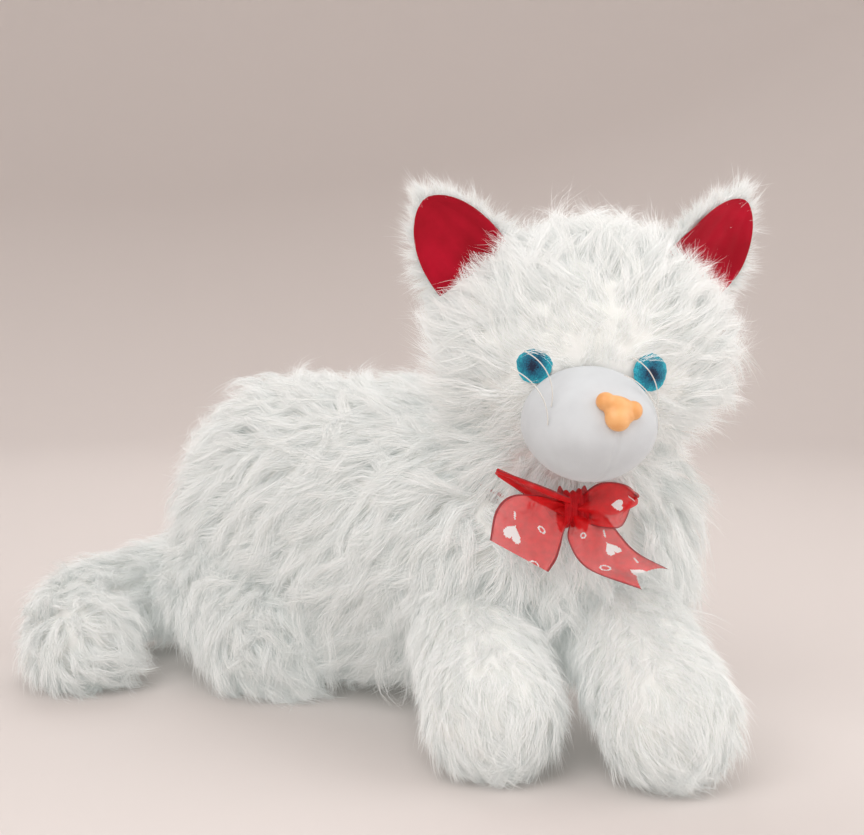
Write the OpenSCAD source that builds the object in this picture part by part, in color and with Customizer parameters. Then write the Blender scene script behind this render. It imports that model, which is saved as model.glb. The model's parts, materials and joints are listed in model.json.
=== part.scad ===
// Plush cat lying down, sewn from long-pile fur panels over fibre stuffing.
// The cat faces -Y, its left side is +X, and it rests on z = 0.
// The origin is on the floor, under the middle of the rump, which the cat rests on.
// Skins end where the pile starts: the pile stands outside these solids.

/* [Torso] */
// Distance from the middle of the chest to the middle of the rump
torso_len = 207; // [195:1:215]
// How far the rump trails round to the cat's right, in degrees
torso_bend = 29.5; // [24:0.5:34]
// Half the width of the body behind the chest
torso_half_width = 71; // [68:1:74]
// Height of the back above the floor
back_height = 187; // [182:1:190]
// Thickness of the fur fabric's backing with the root of its pile
skin = 3; // [2:0.5:4]

/* [Head] */
// Radius of the head seen from above
head_radius = 74; // [72:1:76]
// Half the height of the head
head_half_height = 62; // [60:1:64]
// Height of the middle of the head above the floor
head_z = 222; // [220:1:226]
// How far the face is turned to the cat's right, in degrees
head_yaw = 17; // [0:1:22]
// Height of the ear above its fold
ear_height = 54; // [44:1:60]
// Width of the ear at its fold
ear_width = 52; // [44:1:54]

/* [Face] */
// Radius of the muzzle seen from above
muzzle_radius = 34.5; // [32:0.5:36]
// Half the height of the muzzle
muzzle_half_height = 29.5; // [28:0.5:31]
// Diameter of the eye
eye_dia = 19; // [16:0.5:21]
// Distance between the eyes, middle to middle
eye_spacing = 59; // [56:1:66]
// Width of the nose
nose_width = 23; // [20:0.5:25]

/* [Legs and tail] */
// Length of a foreleg from its pivot to the middle of the paw
foreleg_len = 86; // [80:1:90]
// Radius of a foreleg at its pivot
foreleg_radius = 32; // [30:0.5:33]
// Radius of the paw
paw_radius = 34; // [32:0.5:35]
// Radius of a hind leg at its pivot
haunch_radius = 38; // [36:0.5:39]
// Radius of the hind foot
foot_radius = 36; // [35:0.5:36.5]
// Radius of the tail
tail_radius = 27; // [24:0.5:29]
// Radius of the tail's curl, seen from above
tail_curl = 70; // [66:1:72]

/* [Ribbon] */
// Width of the ribbon
ribbon_width = 25; // [20:1:28]
// Thickness of one layer of the ribbon, folds included
ribbon_thick = 1.6; // [1.2:0.1:2]

/* [Hidden] */

$fn = 64;
facets = 30;        // round steps on the hulled torso and its sockets
fit = 0.1;          // between a skin and the stuffing that fills it
clear = 1;          // round a moving ball or limb in a faceted socket
ball_clear = 0.4;   // between two exact round faces that slide
cut = 400;          // larger than the whole cat, for cutting planes

fur_color = [0.93, 0.94, 0.91];
stuffing_color = [0.98, 0.98, 0.96];
velour_color = [0.97, 0.96, 0.95];
satin_color = [0.72, 0.05, 0.12];
ribbon_color = [0.85, 0.10, 0.13];
nose_color = [0.96, 0.70, 0.42];
iris_color = [0.08, 0.50, 0.58];
pupil_color = [0.02, 0.14, 0.24];
washer_color = [0.90, 0.90, 0.86];
whisker_color = [0.94, 0.92, 0.86];

// --- Torso: three ellipsoids under one skin -----------------------------------------
chest_size = [torso_half_width + 5, 66, 73];
chest_z = 111;
waist_size = [torso_half_width - 1, 85, back_height - 102];
waist_z = 102;
rump_size = [torso_half_width + 1, 76, back_height - 88];
rump_z = 88;
gusset_height = 42;
torso_dir = [sin(torso_bend), -cos(torso_bend)];
chest = [torso_dir[0] * torso_len + 2, torso_dir[1] * torso_len, chest_z];
waist = [torso_dir[0] * torso_len / 2, torso_dir[1] * torso_len / 2, waist_z];
rump = [0, 0, rump_z];

// --- Neck and head ------------------------------------------------------------------
neck_pivot = chest + [-6, -22, 65];
neck_ball = 58;
neck_core = 28;
neck_stem = 20;
neck_nod = 12;
head = [chest[0] - 5, chest[1] - 48, head_z];
head_side_radius = 50;
gusset_half_width = 17;

// --- Face, in the head's frame ------------------------------------------------------
face_roll = 4;
face_shift = -5;
muzzle_at = [face_shift, -72, -36];
muzzle_side_radius = 24;
muzzle_fill_step = 4;
muzzle_yaw = 14;
velour = 1.5;
nose_tilt = 22;
nose_hole_lead = 5;
eye_rise = -8.5;
eye_thick = 3.5;
eye_out = head_radius + fit;
pupil_dia = 9.5;
pupil_thick = 1.8;
shank_radius = 3;
shank_len = 8;
washer_at = 4.5;
washer_thick = 1.5;
washer_radius = 7;
whisker_radius = 0.3;
whisker_curve = 30;
whisker_rise = 9;
whisker_forward = 32;

// --- Ears, in the head's frame ------------------------------------------------------
ear_out = 57;
ear_up = 39;
ear_tilt = 34;
ear_turn_left = 30;
ear_turn_right = 12;
ear_arch = (ear_height * ear_height - ear_width * ear_width / 4) / ear_width;
ear_thick = 4;
lining_thick = 1.5;
lining_inset = 2;
ear_roll = 4;
ear_groove = 8;

// --- Legs: pivot, and the direction to the paw as [azimuth, droop] -------------------
foreleg_left = chest + [21, -46, -46];
foreleg_right = chest + [-53, -2, -46];
foreleg_left_heading = 9;
foreleg_right_heading = 12.5;
foreleg_drop = foreleg_left[2] - paw_radius;
foreleg_lift = 18;
hind_pivot = [46, 12, 56];
hind_reach = [14, -46];
hind_drop = hind_pivot[2] - foot_radius;
hind_swing = 14;

// --- Tail ---------------------------------------------------------------------------
tail_pivot = rump + [-40, 56, -38];
tail_sweep = 135;
tail_heading = 212;
tail_bulge = 0.8;
tail_swing = 14;
tail_chord = 2 * tail_curl * sin(tail_sweep / 2);
tail_tilt = asin((tail_pivot[2] - tail_radius - tail_bulge) / tail_chord);

// --- Bow ----------------------------------------------------------------------------
bow = chest + [-25, -78, 26];
bow_lean = 14;
knot_radius = 9.5;
knot_half_height = 11;
band_gap = 0.7;

// ====================================================================================
// Shapes
// ====================================================================================

// Oval with half axes a and b, closed by side arcs of radius s, for turning about Z
module oval_profile(a, b, s) {
    k = ((a - s) * (a - s) - (b - s) * (b - s)) / (2 * (b - s));
    meet = (b + k) * (a - s) / norm([a - s, k]);
    intersection() {
        union() {
            translate([a - s, 0]) circle(s);
            intersection() {
                translate([0, -k]) circle(b + k);
                translate([0, k]) circle(b + k);
                translate([0, -b]) square([meet, 2 * b]);
            }
        }
        translate([0, -b]) square([a, 2 * b]);
    }
}

module oval(a, b, s) {
    rotate_extrude() oval_profile(a, b, s);
}

// Round-ended outline from radius r1 at the origin to radius r2 at height len
module taper_outline(len, r1, r2) {
    slope = asin((r2 - r1) / len);
    circle(r1);
    translate([0, len]) circle(r2);
    polygon([
        [-r1 * cos(slope), -r1 * sin(slope)], [r1 * cos(slope), -r1 * sin(slope)],
        [r2 * cos(slope), len - r2 * sin(slope)], [-r2 * cos(slope), len - r2 * sin(slope)]
    ]);
}

module limb(len, r1, r2) {
    reach = max(r1, r2);
    rotate_extrude() intersection() {
        taper_outline(len, r1, r2);
        translate([0, -reach]) square([reach, len + 2 * reach]);
    }
}

// Turns local Z towards target, keeping local Y level
module aim(from, target) {
    step = target - from;
    translate(from)
        rotate([0, acos(step[2] / norm(step)), atan2(step[1], step[0])])
            children();
}

// Half space on the positive (1) or negative (-1) side of local Y
module side_of_y(side) {
    translate([0, side * cut / 2, 0]) cube([2 * cut, cut, 2 * cut], center = true);
}

module side_of_x(side, from) {
    translate([side * (cut / 2 + from), 0, 0]) cube([cut, 2 * cut, 2 * cut], center = true);
}

module ball(r) {
    sphere(r, $fn = facets);
}

// ====================================================================================
// Torso
// ====================================================================================

module torso_solid(inset) {
    hull() {
        translate(chest) scale((chest_size - [inset, inset, inset]) / 10) sphere(10, $fn = facets);
        translate(waist)
            rotate([0, 0, torso_bend])
                scale((waist_size - [inset, inset, inset]) / 10) sphere(10, $fn = facets);
        translate(rump)
            rotate([0, 0, torso_bend])
                scale((rump_size - [inset, inset, inset]) / 10) sphere(10, $fn = facets);
    }
}

module above_floor(height) {
    translate([-cut, -cut, height]) cube([2 * cut, 2 * cut, cut]);
}

function turned(v, a) = [v[0] * cos(a) - v[1] * sin(a), v[0] * sin(a) + v[1] * cos(a), v[2]];

// A foreleg's paw at a given lift, its heading measured from -Y towards -X
function paw_at(pivot, heading, lift) =
    let (level = sqrt(foreleg_len * foreleg_len - foreleg_drop * foreleg_drop),
         droop = atan2(foreleg_drop, level) - lift)
    pivot + foreleg_len * [-sin(heading) * cos(droop), -cos(heading) * cos(droop), -sin(droop)];

function hind_pivot_at(side) = turned([side * hind_pivot[0], hind_pivot[1], hind_pivot[2]], torso_bend);

function foot_at(side, swing) =
    hind_pivot_at(side)
    + turned([side * hind_reach[0], hind_reach[1], -hind_drop], torso_bend + side * swing);

module foreleg_socket(pivot, heading) {
    hull() {
        translate(pivot) ball(foreleg_radius + clear);
        for (lift = [0, foreleg_lift])
            translate(paw_at(pivot, heading, lift)) ball(paw_radius + clear);
    }
}

module hind_socket(side) {
    hull() {
        translate(hind_pivot_at(side)) ball(haunch_radius + clear);
        for (swing = [0, hind_swing])
            translate(foot_at(side, swing)) ball(foot_radius + clear);
    }
}

module tail_socket() {
    hull() {
        translate(tail_pivot) ball(tail_radius + tail_bulge + clear);
        for (swing = [-tail_swing, tail_swing])
            translate(tail_pivot + turned([-46, 32, 0], swing)) ball(tail_radius + clear + 3);
    }
}

module torso_sockets() {
    foreleg_socket(foreleg_left, foreleg_left_heading);
    foreleg_socket(foreleg_right, foreleg_right_heading);
    hind_socket(1);
    hind_socket(-1);
    tail_socket();
    hull() translate(neck_pivot) ball(neck_ball + 3 * band_gap + ribbon_thick);
}

module torso_skin() {
    difference() {
        intersection() {
            torso_solid(0);
            above_floor(0);
        }
        intersection() {
            torso_solid(skin);
            above_floor(skin);
        }
        torso_sockets();
    }
}

module torso_left_panel() {
    color(fur_color) intersection() {
        torso_skin();
        rotate([0, 0, torso_bend]) side_of_x(1, 0);
        above_floor(gusset_height);
    }
}

module torso_right_panel() {
    color(fur_color) intersection() {
        torso_skin();
        rotate([0, 0, torso_bend]) side_of_x(-1, 0);
        above_floor(gusset_height);
    }
}

module belly_gusset() {
    color(fur_color) difference() {
        torso_skin();
        above_floor(gusset_height);
    }
}

module torso_stuffing() {
    color(stuffing_color) difference() {
        intersection() {
            torso_solid(skin + fit);
            above_floor(skin + fit);
        }
        torso_sockets();
        translate([neck_pivot[0], neck_pivot[1], neck_pivot[2] - 2 * neck_ball])
            cylinder(r = neck_stem + clear, h = 2 * neck_ball);
    }
}

// ====================================================================================
// Neck and head
// ====================================================================================

module neck_stuffing() {
    color(stuffing_color) {
        translate(neck_pivot) sphere(neck_core);
        translate(neck_pivot - [0, 0, 1.8 * neck_core + neck_core])
            cylinder(r = neck_stem, h = 2.8 * neck_core);
    }
}

module head_frame() {
    translate(head) rotate([0, 0, -head_yaw]) children();
}

module head_solid(inset) {
    head_frame() oval(head_radius - inset, head_half_height - inset, head_side_radius - inset);
    translate(neck_pivot) sphere(neck_ball - inset);
}

// Room round the neck's ball and, below it, for its stem as the head nods
module neck_room() {
    translate(neck_pivot) sphere(neck_core + ball_clear);
    top = neck_stem / cos(neck_nod) + ball_clear;
    translate(neck_pivot - [0, 0, neck_ball + ball_clear])
        cylinder(r1 = top + neck_ball * tan(neck_nod), r2 = top, h = neck_ball);
}

module ear_frame(side) {
    turn = side > 0 ? ear_turn_left : -ear_turn_right;
    head_frame()
        translate([side * ear_out, 0, ear_up])
            rotate([0, side * ear_tilt, 0])
                rotate([0, 0, turn])
                    children();
}

module ear_groove_cut(side, extra) {
    ear_frame(side) rotate([0, 90, 0])
        cylinder(r = ear_groove + extra, h = ear_width + 2 + 2 * extra, center = true);
}

module head_skin() {
    difference() {
        head_solid(0);
        head_solid(skin);
        neck_room();
        ear_groove_cut(1, 0);
        ear_groove_cut(-1, 0);
    }
}

module head_left_panel() {
    color(fur_color) intersection() {
        head_skin();
        head_frame() side_of_x(1, gusset_half_width);
    }
}

module head_right_panel() {
    color(fur_color) intersection() {
        head_skin();
        head_frame() side_of_x(-1, gusset_half_width);
    }
}

module head_gusset() {
    color(fur_color) intersection() {
        head_skin();
        head_frame() cube([2 * gusset_half_width, cut, cut], center = true);
    }
}

module head_stuffing() {
    color(stuffing_color) difference() {
        head_solid(skin + fit);
        neck_room();
        ear_groove_cut(1, 0);
        ear_groove_cut(-1, 0);
    }
}

// ====================================================================================
// Face
// ====================================================================================

module face_frame() {
    head_frame() rotate([0, face_roll, 0]) children();
}

module muzzle_frame() {
    face_frame() translate(muzzle_at) rotate([0, 0, muzzle_yaw]) children();
}

// The nose's shank runs back along local +Y from the nose's place on the muzzle
module nose_frame() {
    muzzle_frame()
        translate([0, muzzle_side_radius - muzzle_radius, 0])
            rotate([-nose_tilt, 0, 0])
                translate([0, -muzzle_side_radius, 0])
                    children();
}

// The ball that holds the whole head, which the muzzle's back is shaped to
module head_round() {
    translate(head) sphere(head_radius + fit);
}

module muzzle_profile(inset) {
    oval_profile(muzzle_radius - inset, muzzle_half_height - inset, muzzle_side_radius - inset);
}

module muzzle_solid(inset) {
    muzzle_frame() rotate_extrude() muzzle_profile(inset);
}

// Round hole behind the nose, from outside the muzzle to the given depth
module nose_hole(radius, depth) {
    nose_frame() rotate([-90, 0, 0])
        translate([0, 0, -nose_hole_lead]) cylinder(r = radius, h = depth + nose_hole_lead);
}

module muzzle_skin() {
    difference() {
        muzzle_solid(0);
        muzzle_solid(velour);
        head_round();
        nose_hole(shank_radius + fit, 2 * shank_len);
    }
}

module muzzle_left_panel() {
    color(velour_color) intersection() {
        muzzle_skin();
        muzzle_frame() side_of_x(1, 0);
    }
}

module muzzle_right_panel() {
    color(velour_color) intersection() {
        muzzle_skin();
        muzzle_frame() side_of_x(-1, 0);
    }
}

// Fills the front half of the muzzle
module muzzle_stuffing() {
    color(stuffing_color) difference() {
        muzzle_frame() translate([0, -muzzle_fill_step, 0]) rotate([0, 0, 180])
            rotate_extrude(angle = 180) muzzle_profile(velour + fit + muzzle_fill_step);
        nose_hole(washer_radius + fit, shank_len + fit);
    }
}

module nose() {
    lobe = nose_width / 4;
    color(nose_color) nose_frame() {
        difference() {
            hull() {
                for (side = [-1, 1])
                    translate([side * (nose_width / 2 - lobe), -lobe * 0.3, lobe * 0.6]) ball(lobe);
                translate([0, -lobe * 0.2, -lobe * 1.1]) ball(lobe * 0.8);
            }
            translate([-cut, -fit, -cut]) cube(2 * cut);
        }
        rotate([-90, 0, 0]) translate([0, 0, -lobe * 0.5])
            cylinder(r = shank_radius, h = shank_len + lobe * 0.5);
    }
}

module nose_washer() {
    color(washer_color) nose_frame() rotate([-90, 0, 0])
        translate([0, 0, washer_at]) difference() {
            cylinder(r = washer_radius, h = washer_thick);
            translate([0, 0, -washer_thick])
                cylinder(r = shank_radius + fit / 2, h = 3 * washer_thick);
        }
}

module eye_frame(side) {
    face_frame() translate([0, 0, eye_rise])
        rotate([90, 0, asin((side * eye_spacing / 2 + face_shift) / eye_out)])
            translate([0, 0, eye_out])
                children();
}

// Domed disc standing on z = 0, turned about Z
module dome_profile(radius, rise) {
    bow_radius = (radius * radius + rise * rise) / (2 * rise);
    intersection() {
        translate([0, rise - bow_radius]) circle(bow_radius, $fn = 128);
        square([radius, rise]);
    }
}

module eye(side) {
    color(iris_color) eye_frame(side) rotate_extrude() difference() {
        dome_profile(eye_dia / 2, eye_thick);
        translate([0, eye_thick - pupil_thick]) square([pupil_dia / 2, eye_thick]);
    }
}

module pupil(side) {
    color(pupil_color) eye_frame(side)
        translate([0, 0, eye_thick - pupil_thick])
            rotate_extrude() dome_profile(pupil_dia / 2 - fit, pupil_thick);
}

// Distance from the muzzle's upright axis to its surface at a height
function muzzle_reach(z) =
    muzzle_radius - muzzle_side_radius + sqrt(muzzle_side_radius * muzzle_side_radius - z * z);

// Two nylon filaments that stand on one cheek of the muzzle, both bowed to the cat's right
module whiskers(side) {
    color(whisker_color) muzzle_frame()
        for (row = [0, 1])
            rotate([0, 0, side > 0 ? -whisker_forward : 180 + whisker_forward])
                translate([muzzle_reach(whisker_rise * row) + whisker_radius + fit, 0, whisker_rise * row])
                    rotate([0, 0, side > 0 ? whisker_forward : 180 - whisker_forward])
                        rotate([110, 0, 20 * row - 20])
                            translate([-whisker_curve, 0, 0])
                                rotate_extrude(angle = 70)
                                    translate([whisker_curve, 0]) circle(whisker_radius);
}

// ====================================================================================
// Ears
// ====================================================================================

// Pointed arch that stands on the local X axis
module ear_outline(inset) {
    intersection() {
        translate([ear_arch, 0]) circle(ear_arch + ear_width / 2 - inset);
        translate([-ear_arch, 0]) circle(ear_arch + ear_width / 2 - inset);
        translate([-cut, 0]) square([2 * cut, cut]);
    }
}

module ear_plate(front, thick, inset) {
    translate([0, front + thick, 0]) rotate([90, 0, 0]) linear_extrude(thick) ear_outline(inset);
}

module ear_back(side) {
    color(fur_color) ear_frame(side) {
        ear_plate(-ear_thick / 2, ear_thick, 0);
        rotate([0, 90, 0]) cylinder(r = ear_roll, h = ear_width - ear_thick, center = true);
    }
}

module ear_lining(side) {
    color(satin_color) ear_frame(side) difference() {
        ear_plate(-ear_thick / 2 - lining_thick, lining_thick, lining_inset);
        rotate([0, 90, 0]) cylinder(r = ear_roll, h = ear_width - ear_thick, center = true);
    }
}

// ====================================================================================
// Legs
// ====================================================================================

module limb_panel(from, target, r1, r2, side) {
    len = norm(target - from);
    aim(from, target) intersection() {
        difference() {
            limb(len, r1, r2);
            limb(len, r1 - skin, r2 - skin);
        }
        side_of_y(side);
    }
}

module limb_stuffing(from, target, r1, r2) {
    inner = skin + fit;
    aim(from, target) limb(norm(target - from), r1 - inner, r2 - inner);
}

module foreleg_panel(pivot, heading, side) {
    color(fur_color)
        limb_panel(pivot, paw_at(pivot, heading, 0), foreleg_radius, paw_radius, side);
}

module foreleg_stuffing(pivot, heading) {
    color(stuffing_color)
        limb_stuffing(pivot, paw_at(pivot, heading, 0), foreleg_radius, paw_radius);
}

module hind_leg_panel(side, half) {
    color(fur_color)
        limb_panel(hind_pivot_at(side), foot_at(side, 0), haunch_radius, foot_radius, half);
}

module hind_leg_stuffing(side) {
    color(stuffing_color)
        limb_stuffing(hind_pivot_at(side), foot_at(side, 0), haunch_radius, foot_radius);
}

// ====================================================================================
// Tail
// ====================================================================================

// The tail curls in a plane that slopes down from its root to its tip on the floor
module tail_frame() {
    translate(tail_pivot)
        rotate([0, tail_tilt, tail_heading])
            rotate([0, 0, -90 - tail_sweep / 2])
                translate([-tail_curl, 0, 0])
                    children();
}

// Both ends are round, and a little fuller than the tail between them
module tail_solid(r) {
    tail_frame() {
        rotate_extrude(angle = tail_sweep) translate([tail_curl, 0]) circle(r);
        translate([tail_curl, 0, 0]) sphere(r + tail_bulge);
        rotate([0, 0, tail_sweep]) translate([tail_curl, 0, 0]) sphere(r + tail_bulge);
    }
}

module tail_skin() {
    difference() {
        tail_solid(tail_radius);
        tail_solid(tail_radius - skin);
    }
}

module tail_upper_panel() {
    color(fur_color) intersection() {
        tail_skin();
        tail_frame() translate([-cut, -cut, 0]) cube([2 * cut, 2 * cut, cut]);
    }
}

module tail_under_panel() {
    color(fur_color) difference() {
        tail_skin();
        tail_frame() translate([-cut, -cut, 0]) cube([2 * cut, 2 * cut, cut]);
    }
}

module tail_stuffing() {
    color(stuffing_color) tail_solid(tail_radius - skin - fit);
}

// ====================================================================================
// Bow
// ====================================================================================

module ribbon_neckband() {
    color(ribbon_color) intersection() {
        translate(neck_pivot) difference() {
            sphere(neck_ball + band_gap + ribbon_thick);
            sphere(neck_ball + band_gap);
        }
        translate(neck_pivot - [0, 0, neck_ball * 0.55])
            rotate([bow_lean, 0, 0])
                cube([cut, cut, ribbon_width * 0.6], center = true);
    }
}

// The bow's own plane: x to the cat's left, y up the chest, z out from it
module bow_frame() {
    translate(bow) rotate([90 - bow_lean, 0, 0]) children();
}

module ribbon_knot() {
    color(ribbon_color) bow_frame() rotate([90, 0, 0])
        oval(knot_radius, knot_half_height, knot_radius * 0.7);
}

module ribbon_piece(points, lift) {
    color(ribbon_color) bow_frame() difference() {
        translate([0, 0, lift]) linear_extrude(ribbon_thick) polygon(points);
        rotate([90, 0, 0]) oval(knot_radius + fit, knot_half_height + fit, knot_radius * 0.7);
    }
}

module ribbon_loop_right() {
    ribbon_piece([[-3, -2], [-3, 6], [-40, 22], [-46, 20], [-38, 2]], 2);
}

module ribbon_loop_left() {
    ribbon_piece([[3, -6], [3, 8], [24, 17], [32, 12], [33, 2], [26, -2]], 2);
}

module ribbon_tail_right() {
    ribbon_piece([[-4, -6], [-6, -26], [-18, -34], [-44, -12], [-40, 2], [-30, 5]], -1);
}

module ribbon_tail_left() {
    ribbon_piece([[5, -2], [-4, -16], [6, -26], [36, -40], [38, -33], [48, -30], [20, -8]], 5);
}

// ====================================================================================

torso_left_panel();
torso_right_panel();
belly_gusset();
torso_stuffing();
neck_stuffing();
head_left_panel();
head_right_panel();
head_gusset();
head_stuffing();
muzzle_left_panel();
muzzle_right_panel();
muzzle_stuffing();
nose();
nose_washer();
eye(1);  // eye_left
eye(-1);  // eye_right
pupil(1);  // pupil_left
pupil(-1);  // pupil_right
whiskers(1);  // whiskers_left
whiskers(-1);  // whiskers_right
ear_back(1);  // ear_left_back
ear_lining(1);  // ear_left_lining
ear_back(-1);  // ear_right_back
ear_lining(-1);  // ear_right_lining
foreleg_panel(foreleg_left, foreleg_left_heading, 1);  // foreleg_left_outer_panel
foreleg_panel(foreleg_left, foreleg_left_heading, -1);  // foreleg_left_inner_panel
foreleg_stuffing(foreleg_left, foreleg_left_heading);  // foreleg_left_stuffing
foreleg_panel(foreleg_right, foreleg_right_heading, -1);  // foreleg_right_outer_panel
foreleg_panel(foreleg_right, foreleg_right_heading, 1);  // foreleg_right_inner_panel
foreleg_stuffing(foreleg_right, foreleg_right_heading);  // foreleg_right_stuffing
hind_leg_panel(1, 1);  // hind_leg_left_outer_panel
hind_leg_panel(1, -1);  // hind_leg_left_inner_panel
hind_leg_stuffing(1);  // hind_leg_left_stuffing
hind_leg_panel(-1, -1);  // hind_leg_right_outer_panel
hind_leg_panel(-1, 1);  // hind_leg_right_inner_panel
hind_leg_stuffing(-1);  // hind_leg_right_stuffing
tail_upper_panel();
tail_under_panel();
tail_stuffing();
ribbon_neckband();
ribbon_knot();
ribbon_loop_left();
ribbon_loop_right();
ribbon_tail_left();
ribbon_tail_right();
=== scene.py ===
"""Looks of the plush cat: long fur, a smooth muzzle, speckled eyes, satin ears and a sheer bow."""
import json
import math

import bmesh
import bpy
import numpy as np
from mathutils import Matrix, Vector
from mathutils.bvhtree import BVHTree
from mathutils.kdtree import KDTree


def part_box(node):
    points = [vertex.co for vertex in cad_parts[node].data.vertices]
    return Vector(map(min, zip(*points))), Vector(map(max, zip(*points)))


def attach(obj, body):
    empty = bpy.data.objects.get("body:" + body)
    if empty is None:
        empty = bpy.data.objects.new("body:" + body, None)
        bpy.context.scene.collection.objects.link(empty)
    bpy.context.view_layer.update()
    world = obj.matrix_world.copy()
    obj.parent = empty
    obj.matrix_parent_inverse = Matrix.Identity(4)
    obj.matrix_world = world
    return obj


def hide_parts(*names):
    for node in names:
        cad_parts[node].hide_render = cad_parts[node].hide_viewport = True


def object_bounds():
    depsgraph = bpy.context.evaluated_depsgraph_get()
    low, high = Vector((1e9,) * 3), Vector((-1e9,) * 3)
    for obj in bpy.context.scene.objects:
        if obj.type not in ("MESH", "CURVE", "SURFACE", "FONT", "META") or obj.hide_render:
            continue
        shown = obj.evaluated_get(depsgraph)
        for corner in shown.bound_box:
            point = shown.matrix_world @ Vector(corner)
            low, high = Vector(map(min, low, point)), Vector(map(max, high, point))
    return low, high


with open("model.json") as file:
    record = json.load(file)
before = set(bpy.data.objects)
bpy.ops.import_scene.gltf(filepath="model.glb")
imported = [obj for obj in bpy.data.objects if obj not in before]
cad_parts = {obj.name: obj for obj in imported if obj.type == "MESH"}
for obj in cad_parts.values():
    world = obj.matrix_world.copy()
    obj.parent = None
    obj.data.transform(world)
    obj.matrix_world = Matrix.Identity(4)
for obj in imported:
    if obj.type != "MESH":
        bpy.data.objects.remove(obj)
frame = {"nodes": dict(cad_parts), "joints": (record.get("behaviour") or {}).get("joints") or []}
CAD_LOW, CAD_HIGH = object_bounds()

# ---------------------------------------------------------------------------------------
# Sizes and places, in metres and degrees
# ---------------------------------------------------------------------------------------

CAMERA_PLACE = (-0.261, -0.975, 0.256)
CAMERA_TURN = -20
CAMERA_DIP = 5.05
CAMERA_LENS = 62.5

SKIN_VOXEL = 0.004
EAR_VOXEL = 0.0016
MUZZLE_VOXEL = 0.001
NOSE_VOXEL = 0.0005
SKIN_SMOOTHING = 8
NOSE_SMOOTHING = 6
SEAM_DEPTH = 0.0006
SEAM_WIDTH = 0.0008
SEAM_FADE = 0.004
NOSE_ROLL = 20
NOSE_SIZE = 0.0122
WASHER_DEPTH = 0.00525
EAR_CUP = 0.005
EAR_WRINKLE = 0.0006
EYE_RADIUS = 0.0097
EYE_RISE = 0.0028
PUPIL_SPECKLE = 0.0022
PUPIL_RAGGEDNESS = 0.006
EYE_OPENING = (0.0078, 0.04, 0.0072)
BUMP_HEIGHT = 0.0003

RIBBON_WIDTH = 0.025
RIBBON_CELL = 0.0004
RIBBON_HEM = 0.0009
PLEATS = 3
RING_LINE = 0.00035
DASH_LINE = 0.0004
BOW_SETBACK = 4
NECKBAND_HALF = 0.006
NECKBAND_SINK = 0.007
BOW_OPENING = (0.042, 0.022, 0.031)

STRAND_COUNTS = {"torso": 168000, "head": 100000, "leg": 28000, "tail": 40000, "ear": 16000}
TORSO_FUR = 0.044
FACE_FUR = 0.012
CROWN_FUR_EXTRA = 0.032
FORELEG_FUR = 0.022
HIND_LEG_FUR = 0.034
TAIL_FUR = 0.032
EAR_FUR = 0.015
STRANDS_PER_PIECE = 28000
STRAND_STEPS = 4
STRAND_TIP = 0.45
ROOT_DEPTH = 0.001
ROOT_GAP = 0.003
SWIRL_SIZE = 0.011
COMB_FADE = 0.12
FUR_MARGIN = 0.017
FUR_GLOW = 0.065
FLOOR_GAP = 0.0006

STAGE_FLOOR = 1.6
STAGE_BEND = 0.9
STAGE_HEIGHT = 2.2
SKY_STRENGTH = 1.32

SIDES = ("left", "right")
LEGS = {"foreleg_left": "foreleg_left_lift", "foreleg_right": "foreleg_right_lift",
        "hind_leg_left": "hind_leg_left_swing", "hind_leg_right": "hind_leg_right_swing"}

JOINTS = {joint["name"]: np.array(joint["pos_m"]) for joint in frame["joints"]}
AXES = {joint["name"]: np.array(joint["axis"]) for joint in frame["joints"]}
UP = np.array([0.0, 0.0, 1.0])


def corners(*nodes):
    """Lowest and highest corner of several CAD nodes together."""
    boxes = [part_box(node) for node in nodes]
    low = np.min([np.array(b[0]) for b in boxes], axis=0)
    high = np.max([np.array(b[1]) for b in boxes], axis=0)
    return low, high


def middle(*nodes):
    """Middle of the box round several CAD nodes."""
    low, high = corners(*nodes)
    return (low + high) / 2


def unit(vectors):
    """Vectors, one or many, at length 1."""
    length = np.linalg.norm(vectors, axis=-1, keepdims=True)
    return vectors / np.maximum(length, 1e-9)


def flat_part(vectors, normals):
    """The part of each vector that lies along the surface."""
    return vectors - normals * np.sum(vectors * normals, axis=-1, keepdims=True)


def smooth_step(value, low, high):
    t = np.clip((value - low) / (high - low), 0, 1)
    return t * t * (3 - 2 * t)


HEAD_NODES = ["head_left_panel", "head_right_panel", "head_gusset"]
TORSO_NODES = ["torso_left_panel", "torso_right_panel", "belly_gusset"]
MUZZLE_NODES = ["muzzle_left_panel", "muzzle_right_panel"]
NECK = JOINTS["head_turn"]
TAIL_ROOT = JOINTS["tail_swing"]
MUZZLE_MIDDLE = middle(*MUZZLE_NODES)
EYES = {side: middle(f"eye_{side}") for side in SIDES}
FACE_LEFT = unit(EYES["left"] - EYES["right"])
FACE_FORWARD = unit(np.cross(FACE_LEFT, UP))
FACE_UP = np.cross(FACE_FORWARD, FACE_LEFT)
SPINE = unit((TAIL_ROOT - NECK) * [1, 1, 0])
KNOT = middle("ribbon_knot")
BOW_OUT = unit((KNOT - NECK) * [1, 1, 0])
BOW_SIDE = np.cross(UP, BOW_OUT)


# ---------------------------------------------------------------------------------------
# Meshes
# ---------------------------------------------------------------------------------------

def add_object(name, mesh, *materials):
    obj = bpy.data.objects.new(name, mesh)
    bpy.context.scene.collection.objects.link(obj)
    for material in materials:
        mesh.materials.append(material)
    return obj


def grid_mesh(name, points, faces):
    """A smooth mesh of four-cornered faces over a grid of points."""
    mesh = bpy.data.meshes.new(name)
    mesh.from_pydata(points.reshape(-1, 3).tolist(), [], faces.reshape(-1, 4).tolist())
    mesh.shade_smooth()
    return mesh


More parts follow.
